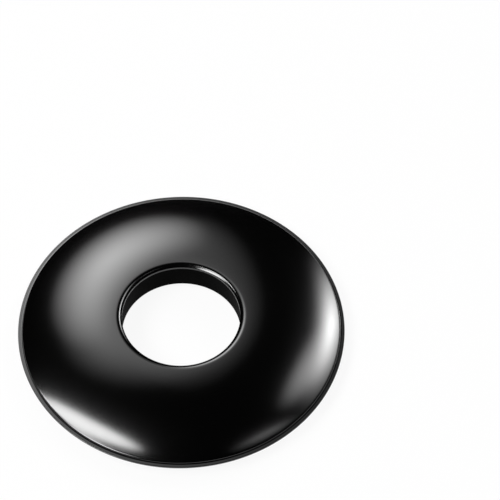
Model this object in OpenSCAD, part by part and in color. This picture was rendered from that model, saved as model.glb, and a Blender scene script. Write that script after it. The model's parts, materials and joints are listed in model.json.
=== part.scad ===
// Bonded sealing washer: a thin domed metal cap with a rubber seal bonded under it.
// All sizes are in millimetres. The washer stands on the land of its seal, with the bore along Z.
// Each piece is one half section, drawn with arcs and lines and turned about the bore.

/* [Cap] */
// Outer diameter over the lip
outer_d = 19; // [18.6:0.1:21]
// Diameter of the hole through the sheet
bore_d = 6.86; // [6.3:0.02:8]
// Thickness of the sheet
sheet_t = 0.27; // [0.25:0.01:0.35]
// Rise of the dome, from the top of the lip to the hole
crown_rise = 1.42; // [1.2:0.02:1.8]
// Radius of the arc that the dome is turned from
crown_r = 15; // [12:0.5:20]
// Radius of the hollow bend between the dome and the root of the lip
foot_r = 0.15; // [0.1:0.01:0.18]
// Width of the flat lip
lip_w = 0.23; // [0.2:0.01:0.4]
// Depth to which the lip is pressed below the level of its root
step_h = 0.08; // [0.07:0.01:0.12]
// Radius of the round over the step that the pressed lip leaves
step_r = 0.12; // [0.08:0.01:0.13]
// Distance from the step out to the root of the lip, where the underside turns level
root_w = 0.09; // [0.08:0.01:0.15]
// Thickness of the lip at its outer edge
lip_edge_t = 0.09; // [0.06:0.01:0.14]
// Radius of the punch roll at the top of the hole
roll_r = 0.5; // [0.4:0.02:0.6]
// Width of the punch roll
roll_w = 0.34; // [0.26:0.01:0.38]

/* [Seal] */
// Height of the top of the lip above the plane that the seal stands on
lip_z = 0.88; // [0.8:0.02:1.2]
// Step of the seal behind the hole of the cap
bore_step = 0.02; // [0:0.01:0.2]
// Step of the top of the seal inside the root of the lip
rim_step = 0.09; // [0.05:0.01:0.15]
// Width of the flared side, from the lip to the middle of the land
flare_w = 0.75; // [0.55:0.05:1.2]
// Width of the flat land that the washer stands on
land_w = 0.2; // [0.1:0.05:0.4]
// Radius of the round on both sides of the land
bead_r = 0.2; // [0.15:0.01:0.25]
// Height of the bead above the outer end of the dished face
bead_h = 0.12; // [0.08:0.01:0.18]
// Radius of the valley between the bead and the dished face
valley_r = 0.2; // [0.1:0.05:0.4]
// Height of the dished face at the bore, above the land
dish_h = 0.43; // [0.25:0.01:0.6]
// Radius of the round between the dished face and the bore
mouth_r = 0.1; // [0.05:0.05:0.3]

/* [Hidden] */
$fn = 180;

// Overlap of a cutting shape past the edge it cuts
over = 0.1;
// Depth to which arcs and lines that touch run into each other, so that they join
bite = 0.0005;

// Radii of the outer edge, the hole, the inner edge of the flat lip and the root of the lip
outer_r = outer_d / 2;
bore_r = bore_d / 2;
lip_r = outer_r - lip_w;
root_r = lip_r + root_w;

// Level of the sheet at the root of the lip, before the lip is pressed
bend_z = lip_z + step_h;

// Centre of the hollow bend: it touches the level at the root, and the dome from outside
foot_c = [root_r, bend_z + foot_r - bite];

// Centre of the dome arc: it passes the top of the hole and touches the hollow bend
crest = [bore_r, lip_z + crown_rise];
span = norm(foot_c - crest);
along = (foot_c - crest) / span;
arm = crown_r + foot_r - bite;
reach = (span ^ 2 + crown_r ^ 2 - arm ^ 2) / (2 * span);
sag = sqrt(crown_r ^ 2 - reach ^ 2);
crown_c = crest + reach * along + sag * [along.y, -along.x];

// Slope of the dome where it meets the hollow bend, from level
foot_tilt = atan2(foot_c.x - crown_c.x, foot_c.y - crown_c.y);

// Centre of the punch roll: it touches the dome from inside
roll_x = bore_r + roll_w;
roll_arm = crown_r - roll_r + bite;
roll_c = [roll_x, crown_c.y + sqrt(roll_arm ^ 2 - (roll_x - crown_c.x) ^ 2)];
roll_out = (roll_c - crown_c) / norm(roll_c - crown_c);

// Centre of the round over the step: it touches the dome from inside, and the upright step
step_x = lip_r - step_r + bite;
step_arm = crown_r - step_r + bite;
step_c = [step_x, crown_c.y + sqrt(step_arm ^ 2 - (step_x - crown_c.x) ^ 2)];
step_out = (step_c - crown_c) / norm(step_c - crown_c);

// Radii of the seal at its bore, its rim, and the two sides of its land
seal_bore_r = bore_r + bore_step;
seal_rim_r = root_r - rim_step;
land_in_r = seal_rim_r - flare_w - land_w / 2;
land_out_r = land_in_r + land_w;

// Dished face: a cone from the bead up to the bore
bead_in_c = [land_in_r, bead_r];
bead_out_c = [land_out_r, bead_r];
face_out = [land_in_r, bead_h];
face_in = [seal_bore_r, dish_h];
face_dir = (face_out - face_in) / norm(face_out - face_in);
face_down = [face_dir.y, -face_dir.x];

// Centre of the valley: it touches the face, and the bead from outside
valley_gap = valley_r - bite;
valley_arm = bead_in_c - face_out;
valley_drop = valley_gap - valley_arm * face_down;
valley_back = sqrt((bead_r + valley_gap) ^ 2 - valley_drop ^ 2) - valley_arm * face_dir;
valley_c = face_out - valley_back * face_dir + valley_gap * face_down;

// Centre of the round at the mouth of the bore: it touches the bore and the face
mouth_gap = mouth_r - bite;
mouth_run = mouth_gap * (1 + face_down.x) / face_dir.x;
mouth_c = face_in + mouth_run * face_dir - mouth_gap * face_down;

// Flared side: a line from the lip that touches the outer round of the bead
rim_top = [seal_rim_r, bend_z - sheet_t];
rim_arm = rim_top - bead_out_c;
flare_gap = bead_r - bite;
flare_turn = atan2(rim_arm.y, rim_arm.x) - acos(flare_gap / norm(rim_arm));
flare_foot = bead_out_c + flare_gap * [cos(flare_turn), sin(flare_turn)];
flare_end = rim_top + sheet_t * (rim_top - flare_foot) / norm(rim_top - flare_foot);

// Half section of all that lies under the outer skin of the cap, moved in by a depth
module under_skin(depth) {
    level = bend_z - depth;
    wedge_h = foot_c.y - level + over;
    intersection() {
        translate(crown_c)
            circle(r = crown_r - depth);
        translate([0, level - over])
            square([root_r, crown_rise + 2 * over]);
    }
    square([outer_r, level]);
    difference() {
        polygon([foot_c, foot_c - wedge_h * [tan(foot_tilt), 1], foot_c - wedge_h * [0, 1]]);
        translate(foot_c)
            circle(r = foot_r + depth);
    }
}

// Corner that the punch roll takes off the top of the hole
module roll_cut() {
    side = bore_r - over;
    difference() {
        polygon([
            roll_c,
            roll_c + (roll_r + over) * roll_out,
            [side, crest.y + over],
            [side, roll_c.y]
        ]);
        translate(roll_c)
            circle(r = roll_r);
    }
}

// Space over the lip, and the corner that the round takes off the step
module step_cut() {
    side = lip_r + over;
    top = step_c.y + step_r + over;
    translate([lip_r, lip_z])
        square([lip_w + over, top - lip_z]);
    difference() {
        polygon([
            step_c,
            [side, step_c.y],
            [side, top],
            step_c + (step_r + over) * step_out
        ]);
        translate(step_c)
            circle(r = step_r);
    }
}

// Slanted cut under the lip that thins it to its outer edge
module lip_cut() {
    polygon([
        [root_r, bend_z - sheet_t],
        [root_r, bend_z - sheet_t - over],
        [outer_r + over, bend_z - sheet_t - over],
        [outer_r + over, lip_z - lip_edge_t],
        [outer_r, lip_z - lip_edge_t]
    ]);
}

// Rounded bead with a flat land on its underside
module bead() {
    translate(bead_in_c)
        circle(r = bead_r);
    translate(bead_out_c)
        circle(r = bead_r);
    translate([land_in_r, 0])
        square([land_w, 2 * bead_r]);
}

// Hollow corner between the dished face and the bead
module valley() {
    difference() {
        polygon([valley_c, bead_in_c, valley_c - (valley_r + over) * face_down]);
        translate(valley_c)
            circle(r = valley_r);
    }
}

// Corner that the round takes off the mouth of the bore
module mouth_cut() {
    side = seal_bore_r - over;
    difference() {
        polygon([
            mouth_c,
            [side, mouth_c.y],
            [side, face_in.y - over],
            mouth_c + (mouth_r + over) * face_down
        ]);
        translate(mouth_c)
            circle(r = mouth_r);
    }
}

// Half section of the seal below the cap, reaching up past the dome
module seal_blank() {
    difference() {
        union() {
            polygon([
                [seal_bore_r, crest.y],
                face_in,
                face_out,
                bead_out_c,
                flare_foot,
                flare_end,
                [flare_end.x, crest.y]
            ]);
            bead();
            valley();
        }
        mouth_cut();
    }
}

// Domed sheet with its rolled hole, its step and its flat lip
module metal_cap() {
    color([0.04, 0.04, 0.045])
        rotate_extrude()
            difference() {
                under_skin(0);
                under_skin(sheet_t);
                square([bore_r, crest.y + over]);
                roll_cut();
                step_cut();
                lip_cut();
            }
}

// Rubber bonded to the hollow side of the cap
module rubber_seal() {
    color([0.09, 0.09, 0.09])
        rotate_extrude()
            intersection() {
                seal_blank();
                under_skin(sheet_t);
            }
}

metal_cap();
rubber_seal();
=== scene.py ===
"""Looks of the bonded sealing washer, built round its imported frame.

Two turned pieces, a gloss coated cap and a moulded rubber seal, lie on a pale floor under
soft boxes, seen from above by a long lens. Lengths are in metres. Angles are in degrees in
the fields of a class, and in radians in the methods.
"""

import json
import logging
import math
from dataclasses import dataclass, field
from enum import Enum, IntEnum
from typing import Any

import bmesh
import bpy
from mathutils import Matrix, Vector


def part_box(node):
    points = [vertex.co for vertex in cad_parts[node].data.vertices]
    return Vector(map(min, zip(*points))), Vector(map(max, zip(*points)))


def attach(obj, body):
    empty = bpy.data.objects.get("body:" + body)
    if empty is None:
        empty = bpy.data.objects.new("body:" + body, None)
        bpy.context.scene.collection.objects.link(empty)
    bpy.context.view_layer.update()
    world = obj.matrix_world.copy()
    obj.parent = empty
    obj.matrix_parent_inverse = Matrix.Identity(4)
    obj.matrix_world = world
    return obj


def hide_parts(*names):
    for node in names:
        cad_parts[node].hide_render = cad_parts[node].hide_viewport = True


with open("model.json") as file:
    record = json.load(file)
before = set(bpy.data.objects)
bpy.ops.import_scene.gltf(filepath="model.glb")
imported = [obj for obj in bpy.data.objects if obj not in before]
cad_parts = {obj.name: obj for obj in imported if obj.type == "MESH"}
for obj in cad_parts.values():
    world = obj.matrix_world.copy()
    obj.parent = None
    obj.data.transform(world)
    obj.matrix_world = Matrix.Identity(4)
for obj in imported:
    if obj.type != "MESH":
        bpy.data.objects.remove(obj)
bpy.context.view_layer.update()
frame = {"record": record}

MM = 0.001
# Angles that point straight up and straight down in a half section
UP = math.pi / 2
DOWN = -math.pi / 2
# Distance below which two points of a section are the same point
SAME_PLACE = 1e-4 * MM
# Low, middle and high values of a noise
NOISE_LOW = 0.3
NOISE_MIDDLE = 0.5
NOISE_HIGH = 0.7
# Shares of wear at which a finish begins to give way and is gone
WEAR_BEGINS = 0.45
WEAR_ENDS = 0.6
WEAR_LAYER = "wear"
LOG = logging.getLogger("sealing_washer")
Colour = tuple[float, float, float, float]
Node = bpy.types.Node
Socket = bpy.types.NodeSocket
Tree = bpy.types.NodeTree


class Wear(Enum):
    """How far the finish of a stretch of surface is worn or left off, as a share. On the rubber, a share
    of 0 also marks the bore wall, which is given painted shade.
    """

    NONE = 0.0
    FACE = 0.2
    EDGE = 0.35
    CUT = 0.8
    BARE = 1.0


class MixInput(IntEnum):
    """Places of a mix node's inputs, whose names repeat for each kind of value."""

    SHARE = 0
    LOW_NUMBER = 2
    HIGH_NUMBER = 3
    LOW_COLOUR = 6
    HIGH_COLOUR = 7


class MixResult(IntEnum):
    """Places of a mix node's results."""

    NUMBER = 0
    COLOUR = 2


def grey(level: float) -> Colour:
    """Returns an opaque grey of one level."""
    return (level, level, level, 1.0)


def heading(start: Vector, end: Vector) -> float:
    """Returns the angle of the way from start to end, from the radial axis."""
    way = end - start
    return math.atan2(way.y, way.x)


def on_circle(centre: Vector, radius: float, angle: float) -> Vector:
    """Returns the point of a circle at an angle."""
    return centre + radius * Vector((math.cos(angle), math.sin(angle)))


def meeting_point(first: Vector, first_r: float, second: Vector, second_r: float) -> Vector:
    """Finds where two circles meet, on the right of the way from the first to the second.

    Args:
        first: Centre of the first circle.
        first_r: Radius of the first circle.
        second: Centre of the second circle.
        second_r: Radius of the second circle.

    Returns:
        The meeting point, as radius and height.
    """
    span = (second - first).length
    along = (second - first) / span
    reach = (span**2 + first_r**2 - second_r**2) / (2 * span)
    sag = math.sqrt(first_r**2 - reach**2)
    return first + reach * along + sag * Vector((along.y, -along.x))


def add_node(tree: Tree, kind: str, inputs: dict[str | int, Any] | None = None, **settings: Any) -> Node:
    """Adds a node to a tree, sets its properties and fills its inputs.

    Args:
        tree: The node tree that gets the node.
        kind: Blender's name of the node type.
        inputs: A value or an output socket for each input, by its name or place.
        **settings: Properties of the node.

    Returns:
        The new node.
    """
    node = tree.nodes.new(kind)
    for name, value in settings.items():
        setattr(node, name, value)
    for name, value in (inputs or {}).items():
        if isinstance(value, Socket):
            tree.links.new(value, node.inputs[name])
        else:
            node.inputs[name].default_value = value
    return node


def add_math(tree: Tree, operation: str, *values: float | Socket, clamp: bool = False) -> Socket:
    """Adds a math node to a tree.

    Args:
        tree: The node tree that gets the node.
        operation: Blender's name of the operation.
        *values: The numbers or sockets that it works on.
        clamp: Whether the result stays between 0 and 1.

    Returns:
        The result of the operation.
    """
    given = dict(enumerate(values))
    node = add_node(tree, "ShaderNodeMath", given, operation=operation, use_clamp=clamp)
    return node.outputs["Value"]


@dataclass
class Section:
    """Closed half section of a turned piece, as points with the wear of the surface there."""

    points: list[Vector] = field(default_factory=list)
    wear: list[float] = field(default_factory=list)

    def point(self, place: Vector, wear: Wear) -> None:
        """Adds a point, unless the section already ends or begins there.

        Args:
            place: The point, as radius and height.
            wear: Wear of the surface there.
        """
        for end in self.points[:1] + self.points[-1:]:
            if (end - place).length < SAME_PLACE:
                return
        self.points.append(place)
        self.wear.append(wear.value)

    def line(self, start: Vector, end: Vector, steps: int, wear: Wear = Wear.NONE) -> None:
        """Adds a straight stretch.

        Args:
            start: Where the stretch begins.
            end: Where it ends.
            steps: Number of parts that it has.
            wear: Wear of its surface.
        """
        for step in range(steps + 1):
            self.point(start.lerp(end, step / steps), wear)

    def arc(
        self, centre: Vector, radius: float, start: float, end: float, steps: int, wear: Wear = Wear.NONE
    ) -> None:
        """Adds a round stretch.

        Args:
            centre: Centre of the arc.
            radius: Radius of the arc.
            start: Angle at which the stretch begins.
            end: Angle at which it ends.
            steps: Number of parts that it has.
            wear: Wear of its surface.
        """
        for step in range(steps + 1):
            angle = start + (end - start) * step / steps
            self.point(on_circle(centre, radius, angle), wear)


@dataclass
class Lathe:
    """Node tree that turns a section about the bore into a smooth closed piece."""

    segments: int = 360
    turning_r: float = 5 * MM
    merge_gap: float = 1e-5 * MM
    crease: float = 32.0

    def __post_init__(self) -> None:
        """Builds the tree, with named inputs for its sizes and its finish."""
        tree = bpy.data.node_groups.new("turn_about_bore", "GeometryNodeTree")
        ports = tree.interface
        ports.new_socket("Section", in_out="INPUT", socket_type="NodeSocketGeometry")
        self.inputs = {
            name: ports.new_socket(name, in_out="INPUT", socket_type=kind).identifier
            for name, kind in (
                ("Segments", "NodeSocketInt"),
                ("Turning Radius", "NodeSocketFloat"),
                ("Finish", "NodeSocketMaterial"),
            )
        }
        ports.new_socket("Piece", in_out="OUTPUT", socket_type="NodeSocketGeometry")
        given = tree.nodes.new("NodeGroupInput").outputs
        outline = add_node(tree, "GeometryNodeMeshToCurve", {"Mesh": given["Section"]})
        ring = add_node(
            tree,
            "GeometryNodeCurvePrimitiveCircle",
            {"Resolution": given["Segments"], "Radius": given["Turning Radius"]},
        )
        turned = add_node(
            tree,
            "GeometryNodeCurveToMesh",
            {"Curve": ring.outputs["Curve"], "Profile Curve": outline.outputs["Curve"]},
        )
        smooth = add_node(tree, "GeometryNodeSetShadeSmooth", {"Geometry": turned.outputs["Mesh"]})
        real = add_node(tree, "GeometryNodeRealizeInstances", {"Geometry": smooth.outputs["Geometry"]})
        dressed = add_node(
            tree,
            "GeometryNodeSetMaterial",
            {"Geometry": real.outputs["Geometry"], "Material": given["Finish"]},
        )
        add_node(tree, "NodeGroupOutput", {"Piece": dressed.outputs["Geometry"]})
        self.tree = tree

    def blank(self, name: str, section: Section) -> bpy.types.Object:
        """Makes the section as a loop of edges, drawn from the turning circle.

        Args:
            name: Name of the piece.
            section: The section to draw.

        Returns:
            An object that holds the loop.
        """
        count = len(section.points)
        mesh = bpy.data.meshes.new(name)
        mesh.from_pydata(
            [(place.x - self.turning_r, -place.y, 0.0) for place in section.points],
            [(step, (step + 1) % count) for step in range(count)],
            [],
        )
        layer = mesh.attributes.new(WEAR_LAYER, "FLOAT", "POINT")
        layer.data.foreach_set("value", section.wear)
        piece = bpy.data.objects.new(name, mesh)
        bpy.context.scene.collection.objects.link(piece)
        return piece

    def turn(self, name: str, section: Section, finish: bpy.types.Material) -> bpy.types.Object:
        """Turns a section and keeps the result as a plain mesh.

        Args:
            name: Name of the piece.
            section: Half section of the piece.
            finish: Material of the piece.

        Returns:
            The turned piece, at the origin.
        """
        piece = self.blank(name, section)
        modifier = piece.modifiers.new("turn", "NODES")
        modifier.node_group = self.tree
        modifier[self.inputs["Segments"]] = self.segments
        modifier[self.inputs["Turning Radius"]] = self.turning_r
        modifier[self.inputs["Finish"]] = finish
        graph = bpy.context.evaluated_depsgraph_get()
        mesh = bpy.data.meshes.new_from_object(
            piece.evaluated_get(graph), preserve_all_data_layers=True, depsgraph=graph
        )
        mesh.name = name
        piece.modifiers.remove(modifier)
        piece.data = mesh
        self.clean(mesh)
        return piece

    def clean(self, mesh: bpy.types.Mesh) -> None:
        """Merges doubles, points faces outwards and keeps true corners sharp.

        Args:
            mesh: The turned mesh.
        """
        shape = bmesh.new()
        shape.from_mesh(mesh)
        bmesh.ops.remove_doubles(shape, verts=shape.verts, dist=self.merge_gap)
        bmesh.ops.recalc_face_normals(shape, faces=shape.faces)
        shape.to_mesh(mesh)
        shape.free()
        mesh.set_sharp_from_angle(angle=math.radians(self.crease))


@dataclass
class TurnedPiece:
    """A piece of the washer that stands for one solid of the frame."""

    name: str
    node: str
    slot: str

    def section(self) -> Section:
        """Returns the half section that the piece is turned from."""
        raise NotImplementedError

    def make(self, lathe: Lathe, finish: bpy.types.Material) -> bpy.types.Object:
        """Turns the piece, dresses it and sets it on the frame.

        Args:
            lathe: Turns the section.
            finish: Material of the piece.

        Returns:
            The finished piece.
        """
        piece = lathe.turn(self.name, self.section(), finish)
        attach(piece, "root")
        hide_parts(self.node)
        LOG.info("%s: %d faces, for %s", self.name, len(piece.data.polygons), self.node)
        return piece


@dataclass
class DomedCap(TurnedPiece):
    """Thin domed sheet with a rolled hole, a step and a flat lip."""

    outer_r: float
    bore_r: float
    sheet_t: float = 0.27 * MM
    lip_z: float = 0.88 * MM
    lip_w: float = 0.23 * MM
    lip_edge_t: float = 0.09 * MM
    lip_droop: float = 0.005 * MM
    lip_round: float = 0.025 * MM
    ramp_w: float = 0.075 * MM
    ramp_tilt: float = 17.0
    step_h: float = 0.08 * MM
    step_r: float = 0.12 * MM
    root_w: float = 0.09 * MM
    crown_rise: float = 1.42 * MM
    crown_r: float = 15.0 * MM
    foot_r: float = 0.15 * MM
    roll_r: float = 0.5 * MM
    roll_w: float = 0.34 * MM
    flat_parts: int = 4
    wall_parts: int = 3
    riser_parts: int = 2
    edge_parts: int = 6
    bend_parts: int = 8
    round_parts: int = 12
    roll_parts: int = 20
    dome_parts: int = 72
    hollow_parts: int = 40

    def __post_init__(self) -> None:
        """Finds the centres of the arcs, each of which touches the dome."""
        self.lip_r = self.outer_r - self.lip_w
        self.root_r = self.lip_r + self.root_w
        self.bend_z = self.lip_z + self.step_h
        self.hollow_r = self.crown_r - self.sheet_t
        self.foot_c = Vector((self.root_r, self.bend_z + self.foot_r))
        crest = Vector((self.bore_r, self.lip_z + self.crown_rise))
        self.crown_c = meeting_point(crest, self.crown_r, self.foot_c, self.crown_r + self.foot_r)
        self.roll_c = self.inside_dome(self.bore_r + self.roll_w, self.roll_r)
        self.step_c = self.inside_dome(self.lip_r - self.step_r, self.step_r)
        self.foot_turn = heading(self.crown_c, self.foot_c)
        self.roll_turn = heading(self.crown_c, self.roll_c)
        self.step_turn = heading(self.crown_c, self.step_c)

    def inside_dome(self, radius: float, round_r: float) -> Vector:
        """Finds the centre of a round that touches the dome from inside.

        Args:
            radius: Distance of the centre from the bore axis.
            round_r: Radius of the round.

        Returns:
            The centre, as radius and height.
        """
        rise = math.sqrt((self.crown_r - round_r) ** 2 - (radius - self.crown_c.x) ** 2)
        return Vector((radius, self.crown_c.y + rise))

    def hollow_turn(self, radius: float) -> float:
        """Returns the angle at which the hollow side of the dome has a given radius."""
        return math.acos((radius - self.crown_c.x) / self.hollow_r)

    def add_hole(self, section: Section) -> None:
        """Adds the cut wall of the hole and the punch roll over it.

        Args:
            section: The section that gets the stretch.
        """
        wall_turn = math.acos(-self.roll_w / self.roll_r)
        wall_foot = on_circle(self.crown_c, self.hollow_r, self.hollow_turn(self.bore_r))
        wall_top = on_circle(self.roll_c, self.roll_r, wall_turn)
        section.line(wall_foot, wall_top, self.wall_parts, Wear.CUT)
        section.arc(self.roll_c, self.roll_r, wall_turn, self.roll_turn, self.roll_parts)

    def add_dome(self, section: Section) -> None:
        """Adds the dome and the round over the step.

        Args:
            section: The section that gets the stretch.
        """
        section.arc(self.crown_c, self.crown_r, self.roll_turn, self.step_turn, self.dome_parts)
        section.arc(self.step_c, self.step_r, self.step_turn, 0, self.round_parts)

    def add_lip(self, section: Section) -> None:
        """Adds the upright step, the ramp at its foot, the lip and the bare slant under the lip.

        Args:
            section: The section that gets the stretch.
        """
        tilt = math.radians(self.ramp_tilt)
        ramp_r = self.ramp_w / math.sin(tilt)
        ramp_c = Vector((self.lip_r + self.ramp_w, self.lip_z + ramp_r))
        ramp_top = on_circle(ramp_c, ramp_r, DOWN - tilt)
        section.line(Vector((self.lip_r, self.step_c.y)), ramp_top, self.riser_parts)
        section.arc(ramp_c, ramp_r, DOWN - tilt, DOWN, self.edge_parts)

        edge_c = Vector((self.outer_r - self.lip_round, self.lip_z - self.lip_droop - self.lip_round))
        flat_start = ramp_c - Vector((0, ramp_r))
        section.line(flat_start, edge_c + Vector((0, self.lip_round)), self.flat_parts)
        section.arc(edge_c, self.lip_round, UP, 0, self.edge_parts)

        edge_foot = Vector((self.outer_r, self.lip_z - self.lip_edge_t))
        root = Vector((self.root_r, self.bend_z - self.sheet_t))
        section.line(edge_c + Vector((self.lip_round, 0)), edge_foot, self.wall_parts, Wear.EDGE)
        section.line(edge_foot, root, self.flat_parts, Wear.BARE)

    def add_underside(self, section: Section, start: float, inner_r: float) -> None:
        """Adds the hollow side of the sheet, from the lip inwards.

        Args:
            section: The section that gets the stretch.
            start: Angle at which it begins on the hollow bend.
            inner_r: Radius at which it ends.
        """
        bend_end = self.foot_turn - math.pi
        section.arc(self.foot_c, self.foot_r + self.sheet_t, start, bend_end, self.bend_parts)
        inner_turn = self.hollow_turn(inner_r)
        section.arc(self.crown_c, self.hollow_r, self.foot_turn, inner_turn, self.hollow_parts)

    def section(self) -> Section:
        """Draws the half section, from the hole over the dome and the lip to the underside.

        Returns:
            The closed half section.
        """
        shape = Section()
        self.add_hole(shape)
        self.add_dome(shape)
        self.add_lip(shape)
        self.add_underside(shape, DOWN, self.bore_r)
        return shape


@dataclass
class RubberSeal(TurnedPiece):
    """Rubber bonded to the hollow side of the cap, with a dished face, a bead and a flared side."""

    cap: DomedCap
    bore_step: float = 0.02 * MM
    rim_step: float = 0.09 * MM
    flare_w: float = 0.75 * MM
    land_w: float = 0.2 * MM
    bead_r: float = 0.2 * MM
    bead_h: float = 0.12 * MM
    valley_r: float = 0.2 * MM
    dish_h: float = 0.43 * MM
    mouth_r: float = 0.1 * MM
    land_parts: int = 4
    bead_parts: int = 8
    mouth_parts: int = 10
    flare_parts: int = 12
    bore_parts: int = 14
    face_parts: int = 40

    def __post_init__(self) -> None:
        """Finds the bore, the rim and the two rounds of the bead."""
        self.bore_r = self.cap.bore_r + self.bore_step
        self.rim_r = self.cap.root_r - self.rim_step
        land_in_r = self.rim_r - self.flare_w - self.land_w / 2
        self.bead_in_c = Vector((land_in_r, self.bead_r))
        self.bead_out_c = Vector((land_in_r + self.land_w, self.bead_r))

    def add_face(self, section: Section) -> None:
        """Adds the bore, its round mouth, the dished face and the valley beside the bead.

        Args:
            section: The section that gets the stretch.
        """
        cap = self.cap
        face_in = Vector((self.bore_r, self.dish_h))
        face_out = Vector((self.bead_in_c.x, self.bead_h))
        face_way = (face_out - face_in).normalized()
        face_down = Vector((face_way.y, -face_way.x))
        down_turn = math.atan2(face_down.y, face_down.x)

        mouth_run = self.mouth_r * (1 + face_down.x) / face_way.x
        mouth_c = face_in + mouth_run * face_way - self.mouth_r * face_down
        bore_top = on_circle(cap.crown_c, cap.hollow_r, cap.hollow_turn(self.bore_r))
        # The bore wall keeps no wear, which gives it the rubber's painted shade
        section.line(bore_top, mouth_c - Vector((self.mouth_r, 0)), self.bore_parts)
        section.arc(mouth_c, self.mouth_r, -math.pi, down_turn, self.mouth_parts, Wear.FACE)

        valley_arm = self.bead_in_c - face_out
        valley_drop = self.valley_r - valley_arm.dot(face_down)
        valley_span = math.sqrt((self.bead_r + self.valley_r) ** 2 - valley_drop**2)
        valley_back = valley_span - valley_arm.dot(face_way)
        valley_c = face_out - valley_back * face_way + self.valley_r * face_down
        valley_turn = heading(valley_c, self.bead_in_c)
        face_start = mouth_c + self.mouth_r * face_down
        face_end = valley_c - self.valley_r * face_down
        section.line(face_start, face_end, self.face_parts, Wear.FACE)
        face_turn = down_turn + math.pi
        section.arc(valley_c, self.valley_r, face_turn, valley_turn, self.bead_parts, Wear.FACE)
        bead_turn = valley_turn - math.pi
        section.arc(self.bead_in_c, self.bead_r, bead_turn, DOWN, self.bead_parts, Wear.EDGE)

    def add_flare(self, section: Section) -> None:
        """Adds the land, the outer round of the bead and the flared side up to the cap.

        Args:
            section: The section that gets the stretch.
        """
        cap = self.cap
        drop = Vector((0, self.bead_r))
        section.line(self.bead_in_c - drop, self.bead_out_c - drop, self.land_parts, Wear.BARE)
        rim_turn = heading(cap.foot_c, Vector((self.rim_r, cap.bend_z - cap.sheet_t)))
        rim = on_circle(cap.foot_c, cap.foot_r + cap.sheet_t, rim_turn)
        rim_arm = rim - self.bead_out_c
        flare_turn = heading(self.bead_out_c, rim) - math.acos(self.bead_r / rim_arm.length)
        flare_foot = on_circle(self.bead_out_c, self.bead_r, flare_turn)
        section.arc(self.bead_out_c, self.bead_r, DOWN, flare_turn, self.bead_parts, Wear.EDGE)
        section.line(flare_foot, rim, self.flare_parts, Wear.FACE)
        cap.add_underside(section, rim_turn, self.bore_r)

    def section(self) -> Section:
        """Draws the half section, from the bore over the face and the bead to the cap's hollow side.

        Returns:
            The closed half section.
        """
        shape = Section()
        self.add_face(shape)
        self.add_flare(shape)
        return shape


class NodeGroups:
    """Shader groups that more than one finish uses."""

    def __init__(self) -> None:
        """Builds each group once."""
        self.grain = self.build_grain()
        self.worn = self.build_worn()

    @staticmethod
    def start(name: str, inputs: dict[str, str], outputs: dict[str, str]) -> Tree:
        """Makes an empty shader group.

        Args:
            name: Name of the group.
            inputs: Kind of each input socket, by its name.
            outputs: Kind of each output socket, by its name.

        Returns:
            The group, with its sockets.
        """
        tree = bpy.data.node_groups.new(name, "ShaderNodeTree")
        for way, sockets in (("INPUT", inputs), ("OUTPUT", outputs)):
            for socket, kind in sockets.items():
                tree.interface.new_socket(socket, in_out=way, socket_type=f"NodeSocket{kind}")
        return tree

    @staticmethod
    def add_noise(tree: Tree, place: Socket, scale: Socket, detail: float, roughness: float) -> Socket:
        """Adds a noise to a group.

        Args:
            tree: The group's nodes.
            place: The place on the piece.
            scale: Scale of the noise.
            detail: Number of finer layers that it has.
            roughness: Share that each finer layer keeps.

        Returns:
            The noise at each place.
        """
        inputs = {"Vector": place, "Scale": scale, "Detail": detail, "Roughness": roughness}
        return add_node(tree, "ShaderNodeTexNoise", inputs).outputs["Fac"]

    def build_grain(self) -> Tree:
        """Builds soft blotches with a finer grain on them.

        Returns:
            A group that turns a position into a share for tones and a height for bump.
        """
        tree = self.start(
            "surface_grain",
            {"Position": "Vector", "Blotch Scale": "Float", "Grain Scale": "Float"},
            {"Tone": "Float", "Height": "Float"},
        )
        given = tree.nodes.new("NodeGroupInput").outputs
        blotch = self.add_noise(tree, given["Position"], given["Blotch Scale"], detail=3.0, roughness=0.55)
        grain = self.add_noise(tree, given["Position"], given["Grain Scale"], detail=4.0, roughness=0.6)
        tone = add_math(tree, "MULTIPLY", add_math(tree, "ADD", blotch, grain), 0.5)
        add_node(tree, "NodeGroupOutput", {"Tone": tone, "Height": grain})
        return tree

    def build_worn(self) -> Tree:
        """Builds the ragged edge of a worn or uncovered stretch.

        Returns:
            A group that turns a share of wear into a mask, broken up by noise.
        """
        tree = self.start(
            "worn_stretch",
            {"Position": "Vector", "Wear": "Float", "Chip Scale": "Float", "Raggedness": "Float"},
            {"Mask": "Float"},
        )
        given = tree.nodes.new("NodeGroupInput").outputs
        chips = self.add_noise(tree, given["Position"], given["Chip Scale"], detail=5.0, roughness=0.65)
        offset = add_math(tree, "SUBTRACT", chips, NOISE_MIDDLE)
        ragged = add_math(tree, "MULTIPLY_ADD", offset, given["Raggedness"], given["Wear"])
        mask = add_node(
            tree,
            "ShaderNodeMapRange",
            {"Value": ragged, "From Min": WEAR_BEGINS, "From Max": WEAR_ENDS},
            interpolation_type="SMOOTHSTEP",
        )
        add_node(tree, "NodeGroupOutput", {"Mask": mask.outputs["Result"]})
        return tree


@dataclass(frozen=True)
class Finish:
    """A material that is made from its own values."""

    name: str

    def start(self) -> tuple[bpy.types.Material, Tree]:
        """Makes an empty material.

        Returns:
            The material and its node tree.
        """
        material = bpy.data.materials.new(self.name)
        material.use_nodes = True
        material.node_tree.nodes.clear()
        return material, material.node_tree

    @staticmethod
    def end(tree: Tree, surface: Node) -> None:
        """Joins the last shader to the material's output."""
        add_node(tree, "ShaderNodeOutputMaterial", {"Surface": surface.outputs[0]})


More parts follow.
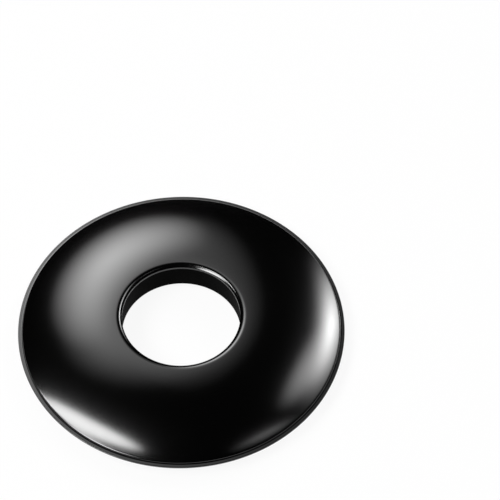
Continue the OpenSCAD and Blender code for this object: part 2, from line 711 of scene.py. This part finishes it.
@dataclass(frozen=True)
class GrainedFinish(Finish):
    """A finish with a grain, and with stretches where it is worn or left off."""

    blotch_scale: float
    grain_scale: float
    grain_h: float
    chip_scale: float
    raggedness: float

    @staticmethod
    def place(tree: Tree) -> Socket:
        """Returns the place on the piece, in its own coordinates."""
        return add_node(tree, "ShaderNodeTexCoord").outputs["Object"]

    @staticmethod
    def wear(tree: Tree) -> Socket:
        """Returns the share of wear that the section gave the surface."""
        return add_node(tree, "ShaderNodeAttribute", attribute_name=WEAR_LAYER).outputs["Fac"]

    def grain(self, tree: Tree, groups: NodeGroups, place: Socket) -> Node:
        """Places the shared grain at the finish's own scales.

        Args:
            tree: The material's nodes.
            groups: The shared shader groups.
            place: The place on the piece.

        Returns:
            The group's node.
        """
        inputs = {"Position": place, "Blotch Scale": self.blotch_scale, "Grain Scale": self.grain_scale}
        return add_node(tree, "ShaderNodeGroup", inputs, node_tree=groups.grain)

    def worn(self, tree: Tree, groups: NodeGroups, place: Socket, wear: Socket) -> Socket:
        """Places the shared ragged edge at the finish's own scale.

        Args:
            tree: The material's nodes.
            groups: The shared shader groups.
            place: The place on the piece.
            wear: Share of wear there.

        Returns:
            A mask of the worn stretches.
        """
        inputs = {
            "Position": place,
            "Wear": wear,
            "Chip Scale": self.chip_scale,
            "Raggedness": self.raggedness,
        }
        return add_node(tree, "ShaderNodeGroup", inputs, node_tree=groups.worn).outputs["Mask"]

    def relief(self, tree: Tree, grain: Node) -> Socket:
        """Raises the grain from the surface.

        Args:
            tree: The material's nodes.
            grain: Node of the shared grain.

        Returns:
            The surface's normal, with the grain in it.
        """
        inputs = {"Strength": 1.0, "Distance": self.grain_h, "Height": grain.outputs["Height"]}
        return add_node(tree, "ShaderNodeBump", inputs).outputs["Normal"]

    @staticmethod
    def blend(tree: Tree, share: Socket, low: Colour | Socket, high: Colour | Socket) -> Socket:
        """Blends two colours by a share that changes over the surface.

        Args:
            tree: The material's nodes.
            share: Share of the second colour.
            low: Colour at a share of 0.
            high: Colour at a share of 1.

        Returns:
            The blended colour.
        """
        inputs = {MixInput.SHARE: share, MixInput.LOW_COLOUR: low, MixInput.HIGH_COLOUR: high}
        return add_node(tree, "ShaderNodeMix", inputs, data_type="RGBA").outputs[MixResult.COLOUR]

    @staticmethod
    def mix(tree: Tree, share: Socket, low: float | Socket, high: float | Socket) -> Socket:
        """Mixes two numbers by a share that changes over the surface.

        Args:
            tree: The material's nodes.
            share: Share of the second number.
            low: Number at a share of 0.
            high: Number at a share of 1.

        Returns:
            The mixed number.
        """
        inputs = {MixInput.SHARE: share, MixInput.LOW_NUMBER: low, MixInput.HIGH_NUMBER: high}
        return add_node(tree, "ShaderNodeMix", inputs, data_type="FLOAT").outputs[MixResult.NUMBER]

    @staticmethod
    def spread(tree: Tree, share: Socket, limits: tuple[float, float]) -> Socket:
        """Spreads the middle of a noise over a range of values.

        Args:
            tree: The material's nodes.
            share: Noise that changes over the surface.
            limits: The values that its low and its high stretches take.

        Returns:
            The value at each place.
        """
        low, high = limits
        inputs = {
            "Value": share,
            "From Min": NOISE_LOW,
            "From Max": NOISE_HIGH,
            "To Min": low,
            "To Max": high,
        }
        return add_node(tree, "ShaderNodeMapRange", inputs).outputs["Result"]


@dataclass(frozen=True)
class GlossCoat(GrainedFinish):
    """Gloss black coat on steel sheet, with bare steel where the sheet was cut."""

    name: str = "gloss_coat"
    blotch_scale: float = 420.0
    grain_scale: float = 1500.0
    grain_h: float = 0.0008 * MM
    chip_scale: float = 5200.0
    raggedness: float = 0.7
    black: Colour = grey(0.0004)
    steel: Colour = (0.56, 0.56, 0.57, 1.0)
    cut: Colour = grey(0.06)
    gloss: tuple[float, float] = (0.12, 0.14)
    coat_roughness: float = 0.12
    steel_roughness: tuple[float, float] = (0.24, 0.46)
    shear_scale: float = 9000.0
    shear_stretch: float = 0.04
    shear_h: float = 0.004 * MM

    def shear_marks(self, tree: Tree, place: Socket) -> Socket:
        """Makes the upright marks that a punch leaves on a cut wall.

        Args:
            tree: The material's nodes.
            place: The place on the piece.

        Returns:
            The depth of the marks, as a share.
        """
        scale = (1.0, 1.0, self.shear_stretch)
        upright = add_node(tree, "ShaderNodeMapping", {"Vector": place, "Scale": scale})
        inputs = {"Vector": upright.outputs["Vector"], "Scale": self.shear_scale, "Detail": 3.0}
        return add_node(tree, "ShaderNodeTexNoise", inputs).outputs["Fac"]

    def make(self, groups: NodeGroups) -> bpy.types.Material:
        """Makes the material.

        Args:
            groups: The shared shader groups.

        Returns:
            The finished material.
        """
        material, tree = self.start()
        place = self.place(tree)
        wear = self.wear(tree)
        grain = self.grain(tree, groups, place)
        bare = self.worn(tree, groups, place, wear)
        shear = self.shear_marks(tree, place)
        clean = add_node(
            tree,
            "ShaderNodeMapRange",
            {"Value": wear, "From Min": Wear.CUT.value, "From Max": Wear.BARE.value},
        )
        metal = self.blend(tree, clean.outputs["Result"], self.cut, self.steel)
        gloss = self.spread(tree, grain.outputs["Tone"], self.gloss)
        metal_gloss = self.spread(tree, shear, self.steel_roughness)
        scored = add_node(
            tree,
            "ShaderNodeBump",
            {
                "Strength": bare,
                "Distance": self.shear_h,
                "Height": shear,
                "Normal": self.relief(tree, grain),
            },
        )
        shader = add_node(
            tree,
            "ShaderNodeBsdfPrincipled",
            {
                "Base Color": self.blend(tree, bare, self.black, metal),
                "Metallic": bare,
                "Roughness": self.mix(tree, bare, gloss, metal_gloss),
                "Coat Weight": add_math(tree, "SUBTRACT", 1.0, bare),
                "Coat Roughness": self.coat_roughness,
                "Normal": scored.outputs["Normal"],
            },
        )
        self.end(tree, shader)
        return material


@dataclass(frozen=True)
class MouldedRubber(GrainedFinish):
    """Matte black rubber with a fine moulded grain, rubbed smoother where it stands; its bore wall is
    painted darker than its face, as painted shade.
    """

    name: str = "moulded_rubber"
    blotch_scale: float = 700.0
    grain_scale: float = 9000.0
    grain_h: float = 0.006 * MM
    chip_scale: float = 3000.0
    raggedness: float = 0.9
    # Colour of the bore wall, near black: painted shade, darker than the rubber's face
    black: Colour = grey(0.0012)
    face_grey: Colour = grey(0.010)
    roughness: tuple[float, float] = (0.62, 0.78)
    rubbed_roughness: float = 0.45
    sheen_level: float = 0.02
    skin: float = 0.4
    skin_roughness: float = 0.27

    @staticmethod
    def on_face(tree: Tree, wear: Socket, full: float | Socket) -> Socket:
        """Leaves the wall of the bore at 0 and gives the moulded face a full value.

        Args:
            tree: The material's nodes.
            wear: Share of wear at each place.
            full: The value on the face.

        Returns:
            The value at each place.
        """
        inputs = {"Value": wear, "From Max": Wear.FACE.value, "To Max": full}
        return add_node(tree, "ShaderNodeMapRange", inputs).outputs["Result"]

    def make(self, groups: NodeGroups) -> bpy.types.Material:
        """Makes the material.

        Args:
            groups: The shared shader groups.

        Returns:
            The finished material.
        """
        material, tree = self.start()
        place = self.place(tree)
        wear = self.wear(tree)
        grain = self.grain(tree, groups, place)
        rubbed = self.worn(tree, groups, place, wear)
        # The face takes the grain's tone; the bore wall stays at the near-black colour as painted shade
        face_over_bore_shade = self.on_face(tree, wear, grain.outputs["Tone"])
        matte = self.spread(tree, grain.outputs["Tone"], self.roughness)
        shader = add_node(
            tree,
            "ShaderNodeBsdfPrincipled",
            {
                "Base Color": self.blend(tree, face_over_bore_shade, self.black, self.face_grey),
                "Roughness": self.mix(tree, rubbed, matte, self.rubbed_roughness),
                "Specular IOR Level": self.sheen_level,
                "Coat Weight": self.on_face(tree, wear, self.skin),
                "Coat Roughness": self.skin_roughness,
                "Normal": self.relief(tree, grain),
            },
        )
        self.end(tree, shader)
        return material


@dataclass(frozen=True)
class PaleFloor(Finish):
    """Plain white floor, seen at full white with a share of shadow left on it."""

    name: str = "pale_floor"
    white: float = 1.0
    paint: float = 0.8
    shadow_share: float = 0.08

    def make(self) -> bpy.types.Material:
        """Makes the material.

        Returns:
            The finished material.
        """
        material, tree = self.start()
        rays = add_node(tree, "ShaderNodeLightPath").outputs
        seen = add_math(tree, "MAXIMUM", rays["Is Camera Ray"], rays["Is Glossy Ray"])
        shown = add_math(tree, "MAXIMUM", seen, rays["Is Transmission Ray"])
        lit = add_node(tree, "ShaderNodeBsdfDiffuse", {"Color": grey(self.paint)})
        shade = add_node(tree, "ShaderNodeBsdfDiffuse", {"Color": grey(self.shadow_share)})
        glow = add_node(tree, "ShaderNodeEmission", {"Color": grey(self.white - self.shadow_share)})
        white = add_node(tree, "ShaderNodeAddShader", {0: glow.outputs[0], 1: shade.outputs[0]})
        floor = add_node(tree, "ShaderNodeMixShader", {0: shown, 1: lit.outputs[0], 2: white.outputs[0]})
        self.end(tree, floor)
        return material


@dataclass(frozen=True)
class SoftBox:
    """Oval soft box hung round the washer and aimed at it, brightest in its middle.

    Attributes:
        name: Name of the lamp.
        azimuth: Direction of the box, from straight behind the washer towards the right.
        elevation: Direction of the box above the floor.
        roll: Turn of its width from level, upwards on the right as seen from the washer.
        width: Its size along the roll.
        height: Its size across the roll.
        fade: How strongly it fades between its middle and its edge.
        edge: How near to its edge the fading begins.
        radiance: Brightness of its middle.
        distance: Its distance from the washer.
    """

    name: str
    azimuth: float
    elevation: float
    roll: float
    width: float
    height: float
    fade: float
    edge: float
    radiance: float
    distance: float = 0.5

    def power(self) -> float:
        """Returns the lamp power that gives the radiance at the middle of the box."""
        area = math.pi / 4 * self.width * self.height
        return math.pi * self.radiance * area

    def soften(self, light: bpy.types.Light) -> None:
        """Lets the lamp fade from its middle to its edge.

        Args:
            light: The lamp's data.
        """
        light.use_nodes = True
        tree = light.node_tree
        tree.nodes.clear()
        # The lamp runs from 0 to 1 both ways, so its edge lies half a unit from its middle
        across = add_node(tree, "ShaderNodeNewGeometry").outputs["Parametric"]
        middle = (0.5, 0.5, 0.0)
        offset = add_node(tree, "ShaderNodeVectorMath", {0: across, 1: middle}, operation="SUBTRACT")
        length = add_node(tree, "ShaderNodeVectorMath", {0: offset.outputs[0]}, operation="LENGTH")
        outer = add_math(tree, "MULTIPLY", length.outputs["Value"], 2.0)
        drop = add_math(tree, "POWER", outer, self.edge)
        inside = add_math(tree, "SUBTRACT", 1.0, drop, clamp=True)
        share = add_math(tree, "POWER", inside, self.fade)
        glow = add_node(tree, "ShaderNodeEmission", {"Strength": share})
        add_node(tree, "ShaderNodeOutputLight", {"Surface": glow.outputs[0]})

    def hang(self) -> bpy.types.Object:
        """Makes the lamp.

        Returns:
            The lamp, facing the middle of the washer.
        """
        azimuth, elevation, roll = map(math.radians, (self.azimuth, self.elevation, self.roll))
        outward = Vector((
            math.sin(azimuth) * math.cos(elevation),
            math.cos(azimuth) * math.cos(elevation),
            math.sin(elevation),
        ))
        side = Vector((math.cos(azimuth), -math.sin(azimuth), 0.0))
        across = math.cos(roll) * side + math.sin(roll) * side.cross(outward)
        light = bpy.data.lights.new(self.name, "AREA")
        light.shape = "ELLIPSE"
        light.size = self.width
        light.size_y = self.height
        light.energy = self.power()
        self.soften(light)
        lamp = bpy.data.objects.new(self.name, light)
        turn = Matrix((across, outward.cross(across), outward)).transposed()
        lamp.matrix_world = Matrix.Translation(self.distance * outward) @ turn.to_4x4()
        lamp.visible_camera = False
        bpy.context.scene.collection.objects.link(lamp)
        return lamp


@dataclass
class Studio:
    """Pale floor, dim room and the soft boxes round the washer."""

    floor_r: float = 2.0
    floor_sides: int = 96
    floor_gap: float = 0.01 * MM
    room_light: float = 0.005
    boxes: tuple[SoftBox, ...] = (
        SoftBox(
            "back_left_box", azimuth=-18, elevation=38, roll=40, width=0.28, height=0.45,
            fade=1.5, edge=1.5, radiance=5.2,
        ),
        SoftBox(
            "back_left_glow", azimuth=-22, elevation=56, roll=0, width=0.35, height=0.30,
            fade=2, edge=1.5, radiance=1.6,
        ),
        SoftBox(
            "back_glow", azimuth=0, elevation=46, roll=0, width=0.22, height=0.54,
            fade=1.5, edge=2, radiance=0.5,
        ),
        SoftBox(
            "right_box", azimuth=48, elevation=36, roll=49, width=0.80, height=0.18,
            fade=4.5, edge=1.3, radiance=16,
        ),
        SoftBox(
            "right_glow", azimuth=59, elevation=51, roll=53, width=0.32, height=0.12,
            fade=2, edge=2, radiance=3,
        ),
        SoftBox(
            "front_right_box", azimuth=102, elevation=65, roll=43, width=0.24, height=0.02,
            fade=1.5, edge=1.5, radiance=2.8,
        ),
        SoftBox(
            "left_box", azimuth=-91, elevation=60, roll=-56, width=0.40, height=0.06,
            fade=1.5, edge=8, radiance=12,
        ),
        SoftBox(
            "left_glow", azimuth=-120, elevation=51, roll=0, width=0.36, height=0.24,
            fade=1, edge=2.5, radiance=13,
        ),
    )

    def lay_floor(self) -> bpy.types.Object:
        """Makes the floor that the washer lies on, just clear of its land.

        Returns:
            The floor, marked as stage.
        """
        shape = bmesh.new()
        bmesh.ops.create_circle(shape, cap_ends=True, segments=self.floor_sides, radius=self.floor_r)
        bmesh.ops.translate(shape, verts=shape.verts, vec=(0.0, 0.0, -self.floor_gap))
        mesh = bpy.data.meshes.new("floor")
        shape.to_mesh(mesh)
        shape.free()
        mesh.materials.append(PaleFloor().make())
        floor = bpy.data.objects.new("floor", mesh)
        bpy.context.scene.collection.objects.link(floor)
        return floor

    def dim_room(self) -> None:
        """Gives the room a plain dim light."""
        world = bpy.data.worlds.new("room")
        world.use_nodes = True
        background = world.node_tree.nodes["Background"].inputs
        background["Color"].default_value = grey(1.0)
        background["Strength"].default_value = self.room_light
        bpy.context.scene.world = world

    def make(self) -> None:
        """Lays the floor, dims the room and hangs the soft boxes."""
        self.lay_floor()
        self.dim_room()
        for box in self.boxes:
            lamp = box.hang()
            LOG.info("%s: %.3f W", lamp.name, lamp.data.energy)


@dataclass(frozen=True)
class LongLens:
    """Camera at the photograph's viewing angle, with its focal length in pixels of the picture.

    Attributes:
        picture_px: Width of the picture.
        focal_px: Focal length.
        sensor_mm: Width of the sensor, in millimetres.
        distance: Distance from the camera to the point that it looks at.
        near_share: Share of that distance at which the view begins.
        elevation: Angle at which it looks down.
        aim: The point that it looks at.
    """

    picture_px: float = 500.0
    focal_px: float = 3536.0
    sensor_mm: float = 36.0
    distance: float = 209.0 * MM
    near_share: float = 0.1
    elevation: float = 54.7
    aim: tuple[float, float, float] = (3.99 * MM, 5.64 * MM, 0.81 * MM)

    def make(self) -> bpy.types.Object:
        """Makes the camera and gives it to the scene.

        Returns:
            The camera.
        """
        data = bpy.data.cameras.new("long_lens")
        data.sensor_width = self.sensor_mm
        data.lens = self.focal_px / self.picture_px * self.sensor_mm
        data.clip_start = self.near_share * self.distance
        camera = bpy.data.objects.new("long_lens", data)
        tilt = math.radians(self.elevation)
        back = Vector((0.0, -math.cos(tilt), math.sin(tilt)))
        camera.location = Vector(self.aim) + self.distance * back
        camera.rotation_euler = (UP - tilt, 0.0, 0.0)
        bpy.context.scene.collection.objects.link(camera)
        bpy.context.scene.camera = camera
        return camera


def bore_radius(mount: str) -> float:
    """Returns the radius of a bore that the record names as a mount."""
    bore = next(entry for entry in frame["record"]["mounts"] if entry["name"] == mount)
    return bore["dims"]["r_mm"] * MM


def main() -> None:
    """Builds the washer, then its studio and its camera."""
    logging.basicConfig(level=logging.INFO, format="%(name)s: %(message)s")
    bpy.context.scene.view_settings.view_transform = "Standard"
    groups = NodeGroups()
    lathe = Lathe()
    _, cap_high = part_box("metal_cap")
    cap = DomedCap("coated_cap", "metal_cap", "cap_coat", cap_high.x, bore_radius("screw_bore"))
    cap.make(lathe, GlossCoat().make(groups))
    seal = RubberSeal("moulded_seal", "rubber_seal", "seal_rubber", cap)
    seal.make(lathe, MouldedRubber().make(groups))
    Studio().make()
    LongLens().make()


if __name__ == "__main__":
    main()
